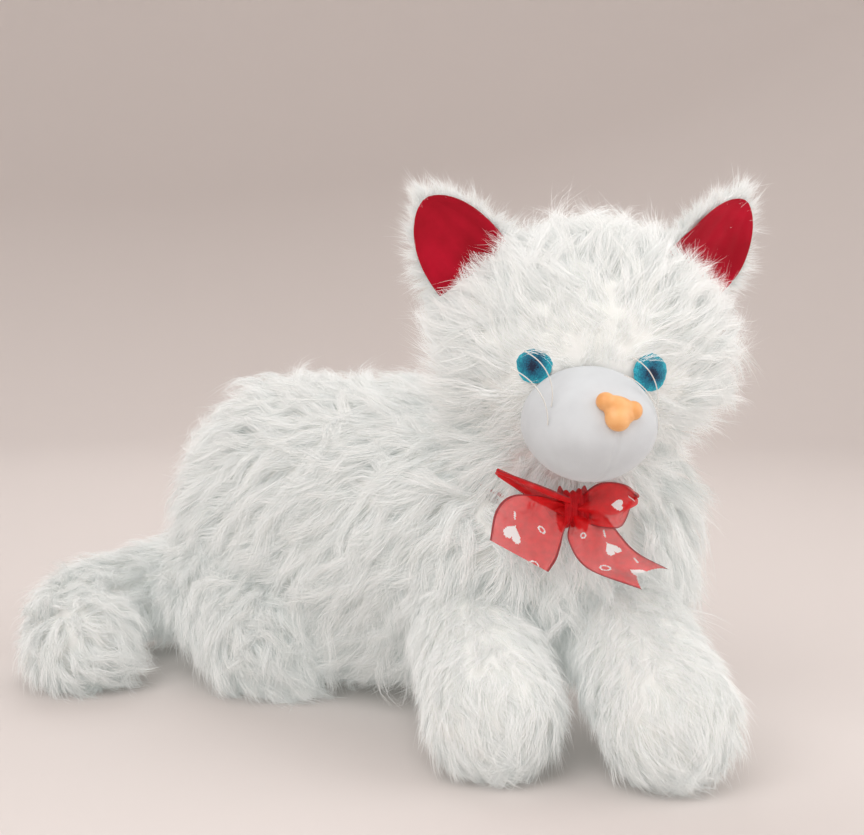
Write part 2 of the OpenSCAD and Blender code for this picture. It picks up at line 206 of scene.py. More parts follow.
def finished_mesh(obj):
    """The object's mesh with its modifiers applied."""
    graph = bpy.context.evaluated_depsgraph_get()
    mesh = bpy.data.meshes.new_from_object(obj.evaluated_get(graph))
    obj.modifiers.clear()
    obj.data = mesh
    return mesh


def remeshed(name, form, voxel, smoothing):
    """A new object whose mesh is the outer surface of the form, softened."""
    mesh = bpy.data.meshes.new(name)
    form.to_mesh(mesh)
    form.free()
    obj = add_object(name, mesh)
    remesh = obj.modifiers.new("remesh", "REMESH")
    remesh.mode = "VOXEL"
    remesh.voxel_size = voxel
    soften = obj.modifiers.new("soften", "SMOOTH")
    soften.iterations = smoothing
    finished_mesh(obj).materials.clear()
    obj.data.shade_smooth()
    return obj


def sewn_skin(name, body, nodes, material, inside=(), voxel=SKIN_VOXEL):
    """One closed, softened skin round a stuffed part. It stands for the part's panels."""
    form = bmesh.new()
    for node in [*nodes, *inside]:
        form.from_mesh(frame["nodes"][node].data)
    bmesh.ops.remove_doubles(form, verts=form.verts, dist=1e-5)
    obj = remeshed(name, form, voxel, SKIN_SMOOTHING)
    obj.data.materials.append(material)
    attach(obj, body)
    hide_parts(*nodes)
    return obj


def arrays(obj):
    """A mesh's points, normals and triangles as arrays."""
    mesh = obj.data
    count = len(mesh.vertices)
    points = np.zeros(count * 3)
    mesh.vertices.foreach_get("co", points)
    normals = np.zeros(count * 3)
    mesh.vertices.foreach_get("normal", normals)
    mesh.calc_loop_triangles()
    corners_of = np.zeros(len(mesh.loop_triangles) * 3, int)
    mesh.loop_triangles.foreach_get("vertices", corners_of)
    return points.reshape(-1, 3), normals.reshape(-1, 3), corners_of.reshape(-1, 3)


def surface_tree(obj):
    """Search tree of a mesh's surface, for finding nearest points."""
    points, _, triangles = arrays(obj)
    return BVHTree.FromPolygons(points.tolist(), triangles.tolist())


def outside(points, tree, gap):
    """True for each point that is more than the gap outside a surface."""
    result = np.ones(len(points), bool)
    for i, point in enumerate(points):
        place, normal, _, distance = tree.find_nearest(point)
        result[i] = (Vector(point) - place).dot(normal) > 0 and distance > gap
    return result


# ---------------------------------------------------------------------------------------
# Fur
# ---------------------------------------------------------------------------------------

def sample_roots(rng, skin, count, neighbours, gap):
    """Random places on the open part of a skin, with their normals."""
    points, normals, triangles = arrays(skin)
    a, b, c = (points[triangles[:, i]] for i in range(3))
    area = np.linalg.norm(np.cross(b - a, c - a), axis=1) / 2
    for tree in neighbours:
        area = area * outside((a + b + c) / 3, tree, gap)
    pick = rng.choice(len(area), count, p=area / area.sum())
    u, v = rng.random((2, count, 1))
    fold = (u + v) > 1
    u, v = np.where(fold, 1 - u, u), np.where(fold, 1 - v, v)
    share = np.concatenate([1 - u - v, u, v], axis=1)[:, :, None]
    roots = (points[triangles[pick]] * share).sum(axis=1)
    return roots, unit((normals[triangles[pick]] * share).sum(axis=1))


def drift(points, scale):
    """A smooth value from -1 to 1 that changes over the given distance."""
    a, b, c = (points / scale).T
    return (np.sin(a + 1.7 * np.sin(b)) + np.sin(b + 1.3 * np.sin(c)) + np.sin(c + 1.9 * np.sin(a))) / 3


def lock_paths(rng, roots, normals, comb, length, style):
    """Middle line of each lock from root to tip. Where the comb points straight out, locks stand up."""
    count = len(roots)
    along = flat_part(unit(comb(roots, normals)), normals)
    along = along / (np.linalg.norm(along, axis=1, keepdims=True) + COMB_FADE)
    sideways = np.cross(along, normals)
    swirl = style["swirl"] * drift(roots, SWIRL_SIZE)[:, None]
    yaw = np.radians(rng.normal(0, style["stray"], (count, 1)) + swirl)
    along = along * np.cos(yaw) + sideways * np.sin(yaw)
    sideways = np.cross(along, normals)
    phase = rng.uniform(0, 2 * math.pi, (count, 1))
    turns = style["waves"] * rng.uniform(0.7, 1.3, (count, 1))
    rise = style["rise"] * rng.uniform(0.6, 1.4, (count, 1))
    path = [roots - normals * ROOT_DEPTH]
    for step in range(STRAND_STEPS):
        s = (step + 0.5) / STRAND_STEPS
        wave = style["curl"] * np.sin(2 * math.pi * turns * s + phase)
        lift = rise * (1 - s) ** 1.3 + 0.5 * style["curl"] * np.cos(2 * math.pi * turns * s + phase)
        heading = unit(normals * lift + along + sideways * wave - UP * style["droop"] * s)
        path.append(path[-1] + heading * length[:, None] / STRAND_STEPS)
    return np.stack(path, axis=1)


def nearest_lock(roots, lock_roots):
    """For each strand's root, the number of the lock that starts closest to it."""
    tree = KDTree(len(lock_roots))
    for i, root in enumerate(lock_roots):
        tree.insert(root, i)
    tree.balance()
    return np.array([tree.find(root)[1] for root in roots])


def points_along(lines, shares):
    """Points at the given shares of each line's length, or a little past its end."""
    steps = np.clip(shares, 0, 1.2) * STRAND_STEPS
    low = np.minimum(steps.astype(int), STRAND_STEPS - 1)
    share = (steps - low)[:, :, None]
    rows = np.arange(len(lines))[:, None]
    return lines[rows, low] * (1 - share) + lines[rows, low + 1] * share


def strand_paths(rng, roots, normals, comb, length_at, style):
    """Middle line of every strand: strands gather towards the nearest lock's own line."""
    lock_count = max(8, int(len(roots) / style["strands_per_lock"]))
    lock_pick = rng.choice(len(roots), lock_count, replace=False)
    lock_roots = roots[lock_pick]
    lock_length = length_at(lock_roots) * rng.uniform(0.8, 1.15, lock_count)
    locks = lock_paths(rng, lock_roots, normals[lock_pick], comb, lock_length, style)
    nearest = nearest_lock(roots, lock_roots)
    kind = rng.random(len(roots))
    loose = kind < style["loose"]
    under = kind > 1 - style["under"]
    scale = rng.uniform(0.7, 1.05, len(roots)) * np.select([loose, under], [1.15, 0.5], 1.0)
    steps = np.linspace(0, 1, STRAND_STEPS + 1)
    line = points_along(locks[nearest], steps[None, :] * scale[:, None])
    offset = roots - lock_roots[nearest]
    pinch = style["pinch"] * np.where(loose | under, 0.15, rng.uniform(0.6, 1.1, len(roots)))
    gather = 1 - pinch[:, None] * steps[None, :] ** 0.9
    frizz = unit(rng.normal(size=(len(roots), 3))) * style["frizz"]
    frizz = frizz * np.where(loose, 2.5, 1.0)[:, None]
    bend = (steps ** 1.5)[None, :, None]
    return line + offset[:, None, :] * gather[:, :, None] + frizz[:, None, :] * bend


def keep_in_room(paths):
    """Lays strands on the floor and keeps their tips near the object."""
    low = np.array(CAD_LOW) - FUR_MARGIN
    high = np.array(CAD_HIGH) + FUR_MARGIN
    low[2] = FLOOR_GAP
    return np.clip(paths, low, high)


def strand_mesh(name, paths, rng, width, shades):
    """Thin tapering ribbons along the paths, each with one of the fur's shades."""
    count, points = paths.shape[:2]
    tangent = unit(np.gradient(paths, axis=1))
    across = unit(np.cross(tangent, unit(rng.normal(size=(count, 1, 3)))))
    taper = np.linspace(1, STRAND_TIP, points - 1)[None, :, None]
    half = across[:, :-1] * (width * rng.uniform(0.6, 1.2, (count, 1, 1)) / 2) * taper
    rails = np.stack([paths[:, :-1] - half, paths[:, :-1] + half], axis=2)
    vertices = np.concatenate([rails.reshape(count, -1, 3), paths[:, -1:]], axis=1)
    per_strand = vertices.shape[1]
    quads = [[2 * i, 2 * i + 1, 2 * i + 3, 2 * i + 2] for i in range(points - 2)]
    tip = [2 * points - 4, 2 * points - 3, 2 * points - 2]
    pattern = np.array(sum(quads, []) + tip)
    starts = np.array([4 * i for i in range(points - 1)])
    offsets = np.arange(count)[:, None]
    loops = (pattern[None, :] + offsets * per_strand).ravel()
    loop_starts = (starts[None, :] + offsets * len(pattern)).ravel()
    mesh = bpy.data.meshes.new(name)
    mesh.vertices.add(count * per_strand)
    mesh.vertices.foreach_set("co", vertices.ravel().astype(np.float32))
    mesh.loops.add(len(loops))
    mesh.loops.foreach_set("vertex_index", loops.astype(np.int32))
    mesh.polygons.add(len(loop_starts))
    mesh.polygons.foreach_set("loop_start", loop_starts.astype(np.int32))
    mesh.polygons.foreach_set("material_index", np.repeat(shades, points - 1).astype(np.int32))
    mesh.update(calc_edges=True)
    mesh.shade_smooth()
    return mesh


def oval_zone(place, axes, sizes):
    """Test for points inside an ellipsoid."""
    def inside(points):
        local = (points - place) @ np.array(axes).T / np.array(sizes)
        return np.sum(local ** 2, axis=-1) < 1
    return inside


def clear_of(paths, zones):
    """True for strands that stay out of every zone."""
    free = np.ones(len(paths), bool)
    for inside in zones:
        free &= ~inside(paths).any(axis=1)
    return free


def grow_fur(name, body, skin, count, comb, length_at, style, neighbours=(), zones=()):
    """Covers a skin with strands, in pieces of a workable size. Neighbours and zones stay free."""
    rng = np.random.default_rng(sum(map(ord, name)))
    roots, normals = sample_roots(rng, skin, count, neighbours, ROOT_GAP)
    order = np.argsort(roots @ SPINE)
    roots, normals = roots[order], normals[order]
    paths = keep_in_room(strand_paths(rng, roots, normals, comb, length_at, style))
    paths = paths[clear_of(paths, zones)]
    shades = rng.choice(len(FUR_SHADES), len(paths), p=FUR_SHARES)
    pieces = max(1, math.ceil(len(paths) / STRANDS_PER_PIECE))
    for part, rows in enumerate(np.array_split(np.arange(len(paths)), pieces)):
        piece = f"{name}_{part + 1}" if pieces > 1 else name
        mesh = strand_mesh(piece, paths[rows], rng, style["width"], shades[rows])
        fur = add_object(piece, mesh, *FUR_SHADES)
        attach(fur, body)


# ---------------------------------------------------------------------------------------
# Materials
# ---------------------------------------------------------------------------------------

def new_material(name, color, roughness, **extra):
    material = bpy.data.materials.new(name)
    material.use_nodes = True
    shader = material.node_tree.nodes["Principled BSDF"]
    shader.inputs["Base Color"].default_value = (*color, 1)
    shader.inputs["Roughness"].default_value = roughness
    for socket, value in extra.items():
        shader.inputs[socket.replace("_", " ")].default_value = value
    return material


def add_noise(material, scale, colors, bump, bump_scale, detail=4):
    """Mottles a material's colour between two colours and roughens its surface."""
    tree = material.node_tree
    shader = tree.nodes["Principled BSDF"]
    place = tree.nodes.new("ShaderNodeTexCoord")
    noise = tree.nodes.new("ShaderNodeTexNoise")
    noise.inputs["Scale"].default_value = scale
    noise.inputs["Detail"].default_value = detail
    tree.links.new(place.outputs["Object"], noise.inputs["Vector"])
    ramp = tree.nodes.new("ShaderNodeValToRGB")
    ramp.color_ramp.elements[0].position = 0.35
    ramp.color_ramp.elements[1].position = 0.65
    ramp.color_ramp.elements[0].color = (*colors[0], 1)
    ramp.color_ramp.elements[1].color = (*colors[1], 1)
    tree.links.new(noise.outputs["Fac"], ramp.inputs["Fac"])
    tree.links.new(ramp.outputs["Color"], shader.inputs["Base Color"])
    fine = tree.nodes.new("ShaderNodeTexNoise")
    fine.inputs["Scale"].default_value = bump_scale
    fine.inputs["Detail"].default_value = detail
    tree.links.new(place.outputs["Object"], fine.inputs["Vector"])
    relief = tree.nodes.new("ShaderNodeBump")
    relief.inputs["Strength"].default_value = bump
    relief.inputs["Distance"].default_value = BUMP_HEIGHT
    tree.links.new(fine.outputs["Fac"], relief.inputs["Height"])
    tree.links.new(relief.outputs["Normal"], shader.inputs["Normal"])
    return ramp


def ragged_distance(tree, centre, place, speckle):
    """Distance from a point, made uneven by speckles and larger blotches."""
    away = tree.nodes.new("ShaderNodeVectorMath")
    away.operation = "DISTANCE"
    away.inputs[1].default_value = centre
    tree.links.new(place, away.inputs[0])
    blotch = tree.nodes.new("ShaderNodeTexNoise")
    blotch.inputs["Scale"].default_value = 260
    tree.links.new(place, blotch.inputs["Vector"])
    total = away.outputs["Value"]
    for source, amount in ((speckle, PUPIL_SPECKLE), (blotch.outputs["Fac"], PUPIL_RAGGEDNESS)):
        add = tree.nodes.new("ShaderNodeMath")
        add.operation = "MULTIPLY_ADD"
        add.inputs[1].default_value = amount
        tree.links.new(source, add.inputs[0])
        tree.links.new(total, add.inputs[2])
        total = add.outputs["Value"]
    return total


def eye_material(side):
    """Flocked teal disc: a ragged navy pupil, speckles, and a slightly paler rim."""
    material = new_material(f"eye_flock_{side}", (0.01, 0.3, 0.42), 0.75)
    speckle = add_noise(material, 1300, [(0, 0, 0), (1, 1, 1)], bump=1.0, bump_scale=2500, detail=1)
    tree = material.node_tree
    place = next(node for node in tree.nodes if node.type == "TEX_COORD").outputs["Object"]
    bands = tree.nodes.new("ShaderNodeMapRange")
    bands.inputs["From Min"].default_value = 0.5 * EYE_RADIUS
    bands.inputs["From Max"].default_value = 1.4 * EYE_RADIUS
    distance = ragged_distance(tree, EYES[side], place, speckle.outputs["Color"])
    tree.links.new(distance, bands.inputs["Value"])
    colors = tree.nodes.new("ShaderNodeValToRGB")
    stops = colors.color_ramp.elements
    stops[0].position, stops[0].color = 0.16, (0.001, 0.012, 0.045, 1)
    stops[1].position, stops[1].color = 1.0, (0.03, 0.46, 0.58, 1)
    for position, color in ((0.36, (0.003, 0.1, 0.19, 1)), (0.7, (0.008, 0.22, 0.33, 1))):
        stops.new(position).color = color
    tree.links.new(bands.outputs["Result"], colors.inputs["Fac"])
    tree.links.new(colors.outputs["Color"], tree.nodes["Principled BSDF"].inputs["Base Color"])
    return material


def fur_shade(name, color):
    """White fibre. Its slight glow stands for the light that a deep pile scatters inside itself."""
    return new_material(name, color, 0.6, Sheen_Weight=0.5, Sheen_Roughness=0.5, Specular_IOR_Level=0.25,
                        Emission_Color=(0.93, 1.0, 0.97, 1), Emission_Strength=FUR_GLOW)


FUR_SHADES = [
    fur_shade("fur_white", (0.985, 0.985, 0.98)),
    fur_shade("fur_cool", (0.955, 0.975, 0.97)),
    fur_shade("fur_cream", (0.975, 0.97, 0.94)),
    fur_shade("fur_shadow", (0.91, 0.925, 0.9)),
]
FUR_SHARES = [0.5, 0.25, 0.17, 0.08]

BACKING = new_material("fur_backing", (0.92, 0.93, 0.91), 0.9)
add_noise(BACKING, 90, [(0.87, 0.89, 0.86), (0.94, 0.95, 0.93)], bump=0.6, bump_scale=900)
VELOUR = new_material("velour", (0.67, 0.71, 0.73), 0.9, Sheen_Weight=0.2, Sheen_Roughness=0.4)
add_noise(VELOUR, 60, [(0.645, 0.68, 0.705), (0.695, 0.735, 0.76)], bump=0.25, bump_scale=1600)
SATIN = new_material("satin", (0.45, 0.003, 0.02), 0.5, Specular_IOR_Level=0.15)
add_noise(SATIN, 45, [(0.36, 0.002, 0.014), (0.52, 0.004, 0.025)], bump=0.3, bump_scale=1400)
NOSE = new_material("nose_plastic", (0.9, 0.45, 0.16), 0.42, Coat_Weight=0.15, Coat_Roughness=0.3)
add_noise(NOSE, 120, [(0.87, 0.4, 0.13), (0.93, 0.5, 0.2)], bump=0.15, bump_scale=2500)
WHISKER = new_material("whisker_nylon", (0.9, 0.89, 0.85), 0.25, Alpha=0.75)
ORGANZA = new_material("organza", (0.8, 0.005, 0.009), 0.5, Alpha=0.72, Specular_IOR_Level=0.2)
add_noise(ORGANZA, 300, [(0.7, 0.004, 0.007), (0.86, 0.007, 0.012)], bump=0.2, bump_scale=2200)
ORGANZA_THICK = new_material("organza_folds", (0.6, 0.006, 0.012), 0.5, Alpha=0.93,
                             Specular_IOR_Level=0.2)
add_noise(ORGANZA_THICK, 300, [(0.5, 0.004, 0.01), (0.72, 0.01, 0.016)], bump=0.3, bump_scale=2200)
SELVEDGE = new_material("organza_edge", (0.3, 0.004, 0.01), 0.5, Alpha=0.95)
PRINT = new_material("organza_print", (0.9, 0.86, 0.87), 0.6, Alpha=0.92)
RIBBON_LOOKS = [ORGANZA, SELVEDGE, PRINT]
FILL = new_material("fibre_fill", (0.9, 0.9, 0.88), 0.95)
add_noise(FILL, 200, [(0.8, 0.8, 0.78), (0.92, 0.92, 0.9)], bump=1.0, bump_scale=500)
WASHER = new_material("washer_plastic", (0.8, 0.8, 0.75), 0.5)
add_noise(WASHER, 150, [(0.76, 0.76, 0.7), (0.84, 0.84, 0.8)], bump=0.1, bump_scale=900)


# ---------------------------------------------------------------------------------------
# Stuffed parts
# ---------------------------------------------------------------------------------------

SKINS = {
    "torso": sewn_skin("torso_skin", "torso", TORSO_NODES, BACKING, ["torso_stuffing"]),
    "head": sewn_skin("head_skin", "head", HEAD_NODES, BACKING, ["head_stuffing"]),
    "tail": sewn_skin("tail_skin", "tail", ["tail_upper_panel", "tail_under_panel"], BACKING,
                      ["tail_stuffing"]),
}
for limb in LEGS:
    SKINS[limb] = sewn_skin(f"{limb}_skin", limb, [f"{limb}_outer_panel", f"{limb}_inner_panel"],
                            BACKING, [f"{limb}_stuffing"])
for side in SIDES:
    SKINS[f"ear_{side}"] = sewn_skin(f"ear_{side}_skin", f"ear_{side}", [f"ear_{side}_back"], BACKING,
                                     voxel=EAR_VOXEL)


# ---------------------------------------------------------------------------------------
# Ears
# ---------------------------------------------------------------------------------------

class Ear:
    """An ear's own axes, to the cat's left, forwards and up, with its lining's sizes."""

    def __init__(self, side):
        axis = AXES[f"ear_{side}_fold"]
        self.base = JOINTS[f"ear_{side}_fold"]
        self.outer = 1 if side == "left" else -1
        self.across = axis * np.sign(axis @ FACE_LEFT)
        lining = frame["nodes"][f"ear_{side}_lining"].data
        points = np.array([vertex.co for vertex in lining.vertices]) - self.base
        self.rise = unit(flat_part(points[np.argmax(np.linalg.norm(points, axis=1))], self.across))
        self.front = np.cross(self.across, self.rise)
        self.half_width = np.abs(points @ self.across).max()
        self.front_at = (points @ self.front).max()
        self.height = (points @ self.rise).max()

    def local(self, points):
        return (points - self.base) @ np.array([self.across, self.front, self.rise]).T

    def place(self, x, y, z):
        return self.base + np.stack([x, y, z], axis=-1) @ np.array([self.across, self.front, self.rise])

    def width_at(self, z):
        """Half the lining's width at a height above the ear's root."""
        share = np.clip(z / self.height, 0, 1)
        return self.half_width * (1 - share ** 2.6) ** 0.6

    def cup(self, x, z):
        """How far forwards the ear curls at a place."""
        return EAR_CUP * (x / self.half_width) ** 2 * smooth_step(z / self.height, -0.1, 0.5)


EARS = {side: Ear(side) for side in SIDES}


def cup_ear(side):
    """Curls the sides of a flat ear skin forwards."""
    ear, skin = EARS[side], SKINS[f"ear_{side}"]
    points, _, _ = arrays(skin)
    x, y, z = ear.local(points).T
    skin.data.vertices.foreach_set("co", ear.place(x, y + ear.cup(x, z), z).ravel())
    skin.data.update()


def ear_zone(side):
    """Test for points in front of the part of the lining that the head's fur leaves open."""
    ear = EARS[side]

    def inside(points):
        x, y, z = np.moveaxis(ear.local(points), -1, 0)
        inner = np.maximum(0.5 - 0.5 * ear.outer * x / ear.half_width, 0)
        covered = ear.height * (0.12 + 0.6 * inner ** 1.5)
        return (y > 0) & (np.abs(x) < ear.width_at(z)) & (z > covered) & (z < ear.height)
    return inside


def ear_front(side):
    """Test for points in front of an ear's lining, leaving its edges."""
    ear = EARS[side]

    def inside(points):
        x, y, z = np.moveaxis(ear.local(points), -1, 0)
        within = (np.abs(x) < 0.93 * ear.width_at(z)) & (z > 0) & (z < 0.95 * ear.height)
        return within & (y > ear.front_at)
    return inside


def ear_comb(side):
    """Outwards from the middle of the ear, and up."""
    ear = EARS[side]
    centre = ear.base + ear.rise * ear.height * 0.3
    return lambda places, normals: unit(places - centre) + 0.5 * ear.rise


def add_lining(side):
    """Satin lining, one sheet that is cupped like the ear."""
    ear = EARS[side]
    s, t = np.meshgrid(np.linspace(0.06, 0.995, 40), np.linspace(-1, 1, 41), indexing="ij")
    z = s * ear.height
    x = t * ear.width_at(z)
    wrinkle = EAR_WRINKLE * np.sin(14 * t + 5 * s) * (1 - s)
    y = ear.front_at + ear.cup(x, z) + wrinkle
    index = np.arange(s.size).reshape(s.shape)
    faces = np.stack([index[:-1, :-1], index[:-1, 1:], index[1:, 1:], index[1:, :-1]], axis=2)
    mesh = grid_mesh(f"ear_{side}_satin", ear.place(x, y, z), faces)
    satin = add_object(f"ear_{side}_satin", mesh, SATIN)
    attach(satin, f"ear_{side}")
    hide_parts(f"ear_{side}_lining")
    area = 2 * np.trapz(ear.width_at(z[:, 0]), z[:, 0])


for side in SIDES:
    cup_ear(side)
    add_lining(side)
TREES = {part: surface_tree(skin) for part, skin in SKINS.items()}


# ---------------------------------------------------------------------------------------
# Which way the fur lies
# ---------------------------------------------------------------------------------------

def torso_comb(points, normals):
    """Back along the spine, down the sides, and forwards and down on the chest."""
    down = smooth_step(np.abs(normals[:, 2]), 1.0, 0.2)[:, None]
    front = smooth_step(-(normals @ SPINE), 0.0, 0.8)[:, None]
    return SPINE * (0.8 - 1.4 * front) - UP * (0.3 + 0.9 * down) + normals * 0.1


def head_comb(points, normals):
    """Outwards from a point just above the middle of the muzzle."""
    return points - (MUZZLE_MIDDLE + FACE_UP * 0.006)


def torso_length(points):
    """Long on the back, shorter under the bow and close to the floor."""
    from_bow = smooth_step(np.linalg.norm(points - KNOT, axis=1), 0.03, 0.075)
    from_floor = smooth_step(points[:, 2], 0.004, 0.05)
    return TORSO_FUR * (0.7 + 0.3 * from_bow) * (0.4 + 0.6 * from_floor)


def head_length(points):
    """Short round the muzzle and eyes, long on the crown and cheeks."""
    away = np.linalg.norm(points - MUZZLE_MIDDLE, axis=1)
    return FACE_FUR + CROWN_FUR_EXTRA * smooth_step(away, 0.035, 0.085)


def limb_comb(part):
    """From the limb's root joint towards its far end."""
    root = JOINTS[LEGS[part]]
    points, _, _ = arrays(SKINS[part])
    farthest = np.argsort(np.linalg.norm(points - root, axis=1))[-200:]
    toward = unit(points[farthest].mean(axis=0) - root)
    return lambda places, normals: toward - UP * 0.35 + normals * 0.1


def curl_centre(points):
    """Middle of the circle that a curled tail follows, seen from above."""
    x, y = points[:, 0], points[:, 1]
    fit = np.linalg.lstsq(np.stack([x, y, np.ones(len(x))], axis=1), x * x + y * y, rcond=None)[0]
    return fit[:2] / 2


def tail_comb():
    """Along the curl of the tail, from its root to its tip."""
    points, _, _ = arrays(SKINS["tail"])
    centre = curl_centre(points)
    root = TAIL_ROOT[:2] - centre
    swept = points[:, :2].mean(axis=0) - centre
    turn = np.sign(root[0] * swept[1] - root[1] * swept[0])

    def comb(places, normals):
        arm = places[:, :2] - centre
        along = np.stack([-arm[:, 1] * turn, arm[:, 0] * turn, np.zeros(len(arm))], axis=1)
        return unit(along) - UP * 0.4
    return comb


def constant(length):
    return lambda points: np.full(len(points), length)


SHAGGY = {"rise": 0.8, "curl": 0.62, "waves": 1.0, "droop": 0.35, "stray": 28, "swirl": 44,
          "pinch": 0.52, "frizz": 0.003, "loose": 0.18, "under": 0.25, "strands_per_lock": 65,
          "width": 0.00034}
FLUFFY = {**SHAGGY, "rise": 0.5, "curl": 0.36, "waves": 0.7, "droop": 0.3, "stray": 18, "swirl": 30,
          "pinch": 0.4, "strands_per_lock": 45, "width": 0.0003}
SMOOTH = {**FLUFFY, "rise": 0.5, "curl": 0.25, "droop": 0.12, "swirl": 22, "pinch": 0.18, "frizz": 0.0022,
          "strands_per_lock": 30, "width": 0.00027}

muzzle_low, muzzle_high = corners(*MUZZLE_NODES)
face_axes = [FACE_LEFT, FACE_FORWARD, FACE_UP]
face_zones = [oval_zone(eye + FACE_FORWARD * 0.012 - FACE_UP * 0.0016, face_axes, EYE_OPENING)
              for eye in EYES.values()]
face_zones.append(oval_zone(MUZZLE_MIDDLE, np.eye(3), (muzzle_high - muzzle_low) / 2 * 0.95))
bow_zone = oval_zone(KNOT + BOW_OUT * 0.026 - UP * 0.004, [BOW_SIDE, BOW_OUT, UP], BOW_OPENING)
beside_torso = [TREES[part] for part in [*LEGS, "tail"]]

grow_fur("torso_fur", "torso", SKINS["torso"], STRAND_COUNTS["torso"], torso_comb, torso_length, SHAGGY,
         beside_torso, [bow_zone])
grow_fur("head_fur", "head", SKINS["head"], STRAND_COUNTS["head"], head_comb, head_length, FLUFFY,
         zones=[*face_zones, bow_zone, *map(ear_zone, SIDES)])
for limb in LEGS:
    fore = limb.startswith("fore")
    length, style = (FORELEG_FUR, SMOOTH) if fore else (HIND_LEG_FUR, SHAGGY)
    grow_fur(f"{limb}_fur", limb, SKINS[limb], STRAND_COUNTS["leg"], limb_comb(limb), constant(length),
             style, [TREES["torso"]])
grow_fur("tail_fur", "tail", SKINS["tail"], STRAND_COUNTS["tail"], tail_comb(), constant(TAIL_FUR),
         SHAGGY, [TREES["torso"]])
for side in SIDES:
    grow_fur(f"ear_{side}_fur", f"ear_{side}", SKINS[f"ear_{side}"], STRAND_COUNTS["ear"], ear_comb(side),
             constant(EAR_FUR), SMOOTH, [TREES["head"]], [ear_front(side)])


# ---------------------------------------------------------------------------------------
# Face
# ---------------------------------------------------------------------------------------

def add_muzzle():
    """Smooth muzzle of two halves, with a seam that runs down from the nose."""
    muzzle = sewn_skin("muzzle_skin", "head", MUZZLE_NODES, VELOUR, ["muzzle_stuffing"], MUZZLE_VOXEL)
    points, normals, _ = arrays(muzzle)
    nose = middle("nose")
    across = unit(np.cross(unit(nose - middle("nose_washer")), UP))
    off_seam = (points - nose) @ across
    below = smooth_step(nose[2] - points[:, 2], SEAM_FADE, 2 * SEAM_FADE)
    depth = SEAM_DEPTH * below * np.exp(-(off_seam / SEAM_WIDTH) ** 2)
    points = points - normals * depth[:, None]
    muzzle.data.vertices.foreach_set("co", points.ravel())
    muzzle.data.update()


def ellipsoid_matrix(centre, axes, radii):
    """Turns the unit sphere into an ellipsoid on its own axes."""
    columns = np.array([axis * radius for axis, radius in zip(axes, radii)]).T
    rows = np.hstack([columns, centre[:, None]]).tolist()
    return Matrix([*rows, (0, 0, 0, 1)])


def add_nose():
    """Moulded nose: two upper lobes, a bridge between them and a fuller lower lobe, fused."""
    washer = middle("nose_washer")
    out = unit(middle("nose") - washer)
    place = washer + out * WASHER_DEPTH
    across = unit(np.cross(UP, out))
    roll = math.radians(NOSE_ROLL)
    side = across * math.cos(roll) - np.cross(out, across) * math.sin(roll)
    top = np.cross(out, side)
    lobes = [(0.6, 0.22, (0.4, 0.4, 0.4)), (-0.6, 0.22, (0.4, 0.4, 0.38)),
             (0.0, 0.16, (0.8, 0.42, 0.46)), (0.05, -0.06, (0.66, 0.42, 0.46)),
             (0.02, -0.3, (0.54, 0.44, 0.54))]
    form = bmesh.new()
    for x, z, radii in lobes:
        centre = place + (side * x + top * z + out * 0.1) * NOSE_SIZE
        matrix = ellipsoid_matrix(centre, (side, out, top), np.array(radii) * NOSE_SIZE)
        bmesh.ops.create_icosphere(form, subdivisions=4, radius=1, matrix=matrix)
    nose = remeshed("nose_button", form, NOSE_VOXEL, NOSE_SMOOTHING)
    nose.data.materials.append(NOSE)
    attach(nose, "head")
    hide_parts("nose")


def add_eye(side):
    """Domed flocked patch with a slightly uneven cut edge."""
    out = unit(middle(f"pupil_{side}") - EYES[side])
    across = unit(np.cross(UP, out))
    axes = np.array([across, np.cross(out, across), out])
    share, turn = np.meshgrid(np.linspace(0, 1, 24), np.linspace(0, 2 * math.pi, 97)[:-1], indexing="ij")
    uneven = 0.02 * np.sin(5 * turn) + 0.012 * np.sin(17 * turn + 1)
    radius = EYE_RADIUS * share * (1 + uneven * share)
    rise = EYE_RISE * (1 - share ** 2) - EYE_RISE / 2
    points = EYES[side] + np.stack([radius * np.cos(turn), radius * np.sin(turn), rise], axis=-1) @ axes
    index = np.arange(share.size).reshape(share.shape)
    ahead = np.roll(index, -1, axis=1)
    faces = np.stack([index[:-1], index[1:], ahead[1:], ahead[:-1]], axis=2)
    mesh = grid_mesh(f"eye_{side}_patch", points, faces)
    patch = add_object(f"eye_{side}_patch", mesh, eye_material(side))
    form = bmesh.new()
    form.from_mesh(mesh)
    bmesh.ops.remove_doubles(form, verts=form.verts, dist=1e-6)
    form.to_mesh(mesh)
    form.free()
    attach(patch, "head")
    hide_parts(f"eye_{side}", f"pupil_{side}")


def node_material(node):
    """Material of a CAD node that shows as it is or lies hidden inside, else None."""
    if node.startswith("whisker"):
        return WHISKER
    if node == "nose_washer":
        return WASHER
    return FILL if node.endswith("stuffing") else None


add_muzzle()
add_nose()
for side in SIDES:
    add_eye(side)
for node, obj in frame["nodes"].items():
    material = node_material(node)
    if material:
        obj.data.materials.clear()
        obj.data.materials.append(material)


# ---------------------------------------------------------------------------------------
# Bow
# ---------------------------------------------------------------------------------------

def bow_point(side, up, out):
    """A place given in millimetres to the cat's left, up and outwards from the knot."""
    return KNOT + (BOW_SIDE * side + UP * up + BOW_OUT * (out - BOW_SETBACK)) / 1000


